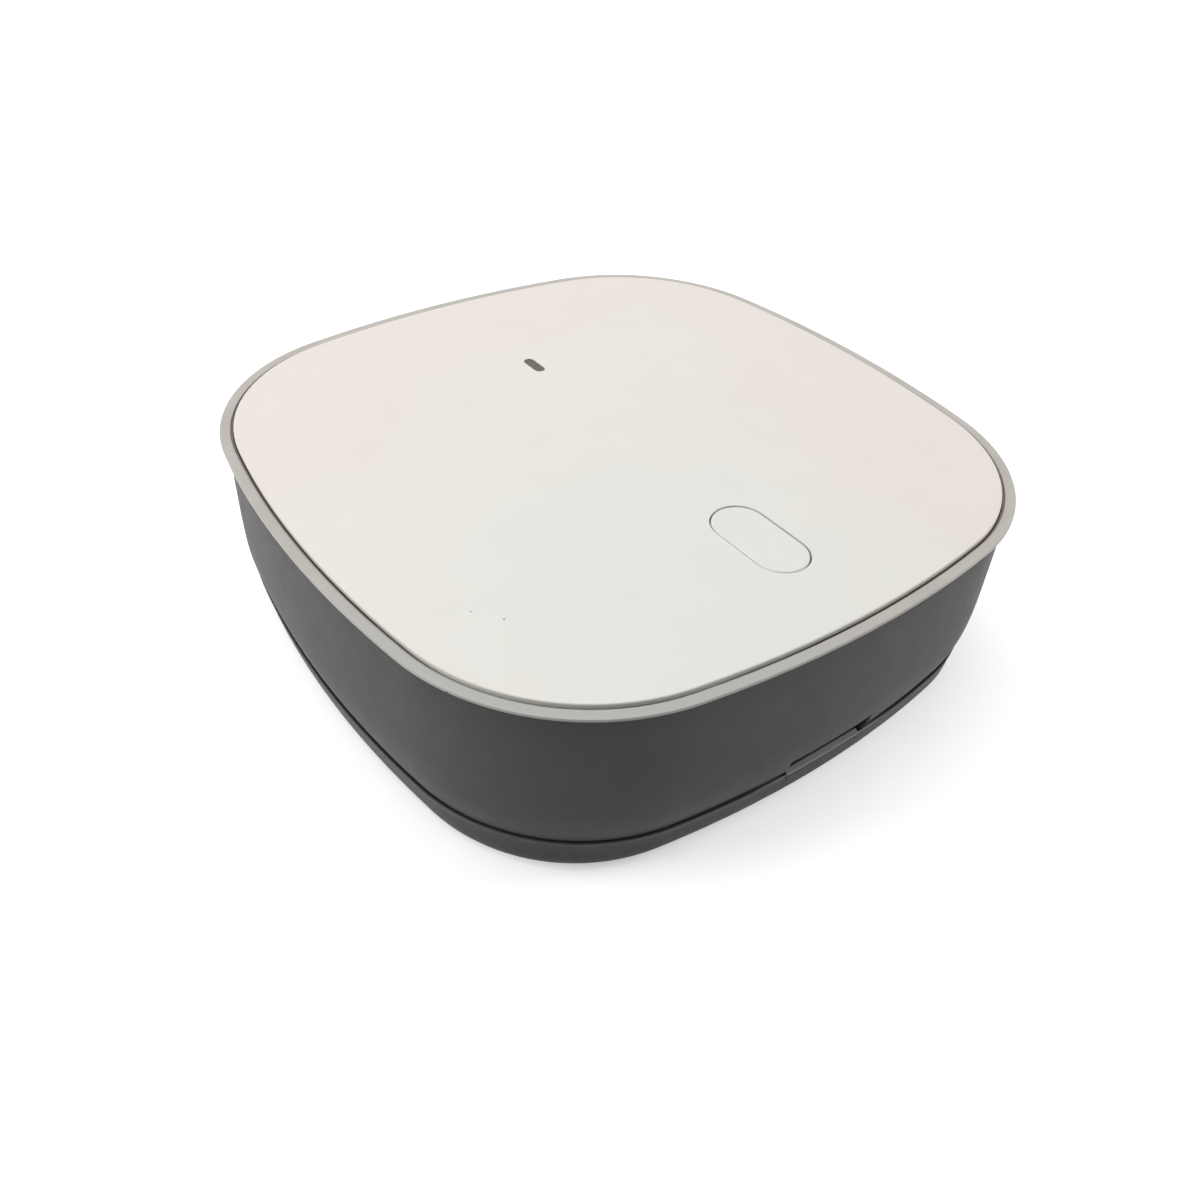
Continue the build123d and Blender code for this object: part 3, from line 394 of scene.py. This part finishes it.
def drawn_aluminium():
    """A drawn aluminium can: pale, with faint drawing lines up its side."""
    material, tree, place, soft = start_finish("drawn_aluminium", edge=0.1)
    lines = drawn_out(tree, place, size=0.3, stretch=(1.0, 1.0, 0.05))
    colour = shaded(tree, lines, "C4C6C8", "DADBDC", start=0.3, end=0.7)
    colour = edge_wear_and_highlight(tree, colour, soft, "E8E8E9", most=0.35)
    roughness = uneven(tree, place, size=1.5, detail=3, low=0.3, high=0.42)
    normal = add(tree, "ShaderNodeBump", {"Height": lines, "Normal": soft, "Distance": 0.004 * MM})
    return finished(material, {"Metallic": 1.0}, colour, roughness, normal)


def green_circuit_board():
    """Woven glass board under green solder mask: the weave shows faintly, and paler tracks run under
    the mask in two directions, with a glossy coat over all."""
    material, tree, place, soft = start_finish("masked_circuit_board", edge=0.1)
    # The cloth's threads are 0.4 mm apart.
    weave = add(tree, "ShaderNodeTexChecker", {
        "Scale": per_mm(0.4), "Vector": place}).outputs["Fac"]
    # Tracks 0.4 mm wide, 5.4 mm apart one way and 1.3 mm the other, given as shares of 6 mm.
    tracks = add(tree, "ShaderNodeTexBrick", {
        "Scale": per_mm(6.0), "Mortar Size": 0.035, "Mortar Smooth": 0.1,
        "Brick Width": 0.9, "Row Height": 0.22, "Vector": place}).outputs["Fac"]
    clouds = uneven(tree, place, size=8, detail=3, low=0, high=0.3)
    colour = shaded(tree, weave, "1A5234", "1E5A3A", start=0.0, end=1.0)
    colour = mix_in(tree, colour, "2E7449", tracks)
    colour = mix_in(tree, colour, "154528", clouds)
    colour = edge_wear_and_highlight(tree, colour, soft, "8C9A63", most=0.4)
    roughness = uneven(tree, place, size=2, detail=3, low=0.28, high=0.4)
    normal = add(tree, "ShaderNodeBump", {"Height": tracks, "Normal": soft, "Distance": 0.03 * MM})
    return finished(material, {"IOR": 1.52, "Coat Weight": 0.4}, colour, roughness, normal)


def moulded_chip_resin():
    """Black epoxy moulded round a chip: matt, finely pitted, and a shade browner in patches."""
    material, tree, place, soft = start_finish("moulded_chip_resin", edge=0.06)
    colour = clouded(tree, place, "202022", "2C2B2B", size=0.8, detail=4, start=0.35, end=0.7)
    colour = edge_wear_and_highlight(tree, colour, soft, "454446", most=0.3)
    roughness = uneven(tree, place, size=1, detail=3, low=0.52, high=0.68)
    # The pits are about 0.03 mm, too fine for the render, so they are drawn at 0.15 mm.
    normal = grained(tree, place, soft, size=0.15, detail=3, depth=0.008)
    return finished(material, {"IOR": 1.55}, colour, roughness, normal)


def fired_ceramic():
    """Fired brown ceramic with a slight glaze: small chips of it, paler along their edges."""
    material, tree, place, soft = start_finish("fired_ceramic", edge=0.05)
    colour = clouded(tree, place, "957D5E", "AE9775", size=0.7, detail=4, start=0.35, end=0.65)
    colour = edge_wear_and_highlight(tree, colour, soft, "C9C7C2", most=0.5)
    roughness = uneven(tree, place, size=0.5, detail=3, low=0.3, high=0.45)
    # The fired grains are about 0.01 mm, too fine for the render, so they are drawn at 0.12 mm.
    normal = grained(tree, place, soft, size=0.12, detail=2, depth=0.004)
    return finished(material, {"IOR": 1.6}, colour, roughness, normal)


def pressed_ferrite():
    """Pressed and fired ferrite: charcoal grey, dense and dull, with crumbly edges."""
    material, tree, place, soft = start_finish("pressed_ferrite", edge=0.12)
    colour = clouded(tree, place, "343437", "47474A", size=0.5, detail=5, start=0.35, end=0.7)
    colour = edge_wear_and_highlight(tree, colour, soft, "67676A", most=0.4)
    roughness = uneven(tree, place, size=0.8, detail=3, low=0.5, high=0.7)
    # The pressed grains are about 0.05 mm, too fine for the render, so they are drawn at 0.2 mm.
    normal = grained(tree, place, soft, size=0.2, detail=4, depth=0.02)
    return finished(material, {"IOR": 1.7}, colour, roughness, normal)


def cast_lens_resin():
    """Clear resin cast over a light emitting chip: milky and glossy, a touch yellow."""
    material, tree, place, soft = start_finish("cast_lens_resin", edge=0.08)
    colour = clouded(tree, place, "E4DFC8", "F2EFE2", size=0.6, detail=3, start=0.3, end=0.7)
    roughness = uneven(tree, place, size=0.5, detail=3, low=0.12, high=0.25)
    normal = grained(tree, place, soft, size=0.3, detail=2, depth=0.003)
    return finished(material, {"IOR": 1.5, "Transmission Weight": 0.2}, colour, roughness, normal)


# The finish of each material slot in the record
FINISHES = {
    "white_plastic": white_cover_abs,
    "grey_plastic": grey_ring_abs,
    "dark_plastic": dark_body_abs,
    "smoked_plastic": smoked_acrylic,
    "black_plastic": black_nylon,
    "foot_rubber": foot_rubber,
    "zinc_steel": zinc_plated_steel,
    "tinned_steel": tinned_sheet_steel,
    "brass_strip": rolled_brass,
    "aluminium_can": drawn_aluminium,
    "circuit_board": green_circuit_board,
    "black_resin": moulded_chip_resin,
    "ceramic": fired_ceramic,
    "ferrite": pressed_ferrite,
    "clear_resin": cast_lens_resin,
}


def dress_pieces():
    """Give every piece the finish that the record names for it."""
    made = {slot: make() for slot, make in FINISHES.items()}
    for entry in frame["record"]["subparts"]:
        piece = frame["nodes"][entry["node"]]
        piece.data.materials.clear()
        piece.data.materials.append(made[entry["material_slot"]])


def place_camera():
    """Stand the camera where the photograph was taken from, looking at the point on the cover."""
    azimuth, elevation, roll = map(math.radians, (CAMERA_AZIMUTH, CAMERA_ELEVATION, CAMERA_ROLL))
    back = Vector((math.sin(azimuth) * math.cos(elevation),
                   -math.cos(azimuth) * math.cos(elevation), math.sin(elevation)))
    level = Vector((math.cos(azimuth), math.sin(azimuth), 0))
    upright = back.cross(level)
    right = math.cos(roll) * level + math.sin(roll) * upright
    up = math.cos(roll) * upright - math.sin(roll) * level
    turn = Matrix((right, up, back)).transposed().to_4x4()
    data = bpy.data.cameras.new("photo_camera")
    data.sensor_width = SENSOR_WIDTH
    data.lens = FOCAL_LENGTH
    data.clip_start = CAMERA_NEAREST
    camera = bpy.data.objects.new("photo_camera", data)
    bpy.context.collection.objects.link(camera)
    camera.matrix_world = Matrix.Translation(Vector(CAMERA_AIM) + CAMERA_DISTANCE * back) @ turn
    bpy.context.scene.camera = camera


def light_studio():
    """Soft rectangular lamps in a dim room with a white backdrop. A low lamp is turned off in
    reflections, as a polarising sheet does, so that it leaves no glare on the cover when that is
    seen from low on the other side."""
    for name, place, aim, width, height, power in LAMPS:
        data = bpy.data.lights.new(name, "AREA")
        data.shape = "RECTANGLE"
        data.size = width
        data.size_y = height
        data.energy = power
        lamp = bpy.data.objects.new(name, data)
        bpy.context.collection.objects.link(lamp)
        lamp.location = place
        lamp.visible_glossy = place[2] > LOW_LAMP_HEIGHT
        lamp.rotation_euler = (Vector(aim) - Vector(place)).to_track_quat("-Z", "Y").to_euler()
    world = bpy.data.worlds.new("studio")
    bpy.context.scene.world = world
    world.use_nodes = True
    tree = world.node_tree
    tree.nodes.clear()
    room = add(tree, "ShaderNodeBackground", {"Color": linear("F4F6FA"), "Strength": ROOM_STRENGTH})
    backdrop = add(tree, "ShaderNodeBackground", {
        "Color": linear("FFFFFF"), "Strength": BACKDROP_STRENGTH})
    mix = add(tree, "ShaderNodeMixShader", {0: seen_background(tree), 1: room, 2: backdrop})
    add(tree, "ShaderNodeOutputWorld", {"Surface": mix})


def white_table():
    """A pale table. Seen by the camera or in a reflection it is lifted to white with the hub's
    shadow on it, and it throws less light back up at the hub than white paint would."""
    mesh = bpy.data.meshes.new("table")
    mesh.from_pydata([(-TABLE_REACH, -TABLE_REACH, 0), (TABLE_REACH, -TABLE_REACH, 0),
                      (TABLE_REACH, TABLE_REACH, 0), (-TABLE_REACH, TABLE_REACH, 0)],
                     [], [(0, 1, 2, 3)])
    table = bpy.data.objects.new("table", mesh)
    bpy.context.collection.objects.link(table)
    material, tree, place = start_material("painted_white_table")
    colour = clouded(tree, place, "F4F4F3", "F8F8F8", size=120, detail=3, start=0.3, end=0.7)
    paint = add(tree, "ShaderNodeBsdfDiffuse", {"Color": colour})
    glow = add(tree, "ShaderNodeEmission", {"Color": linear("FFFFFF"), "Strength": TABLE_GLOW})
    seen = add(tree, "ShaderNodeAddShader", {0: paint, 1: glow})
    dim = add(tree, "ShaderNodeBsdfDiffuse", {"Color": linear("B0B0B0")})
    mix = add(tree, "ShaderNodeMixShader", {0: seen_background(tree), 1: dim, 2: seen})
    add(tree, "ShaderNodeOutputMaterial", {"Surface": mix})
    mesh.materials.append(material)


dress_pieces()
place_camera()
light_studio()
white_table()
bpy.context.scene.view_settings.view_transform = "Standard"
bpy.context.view_layer.update()
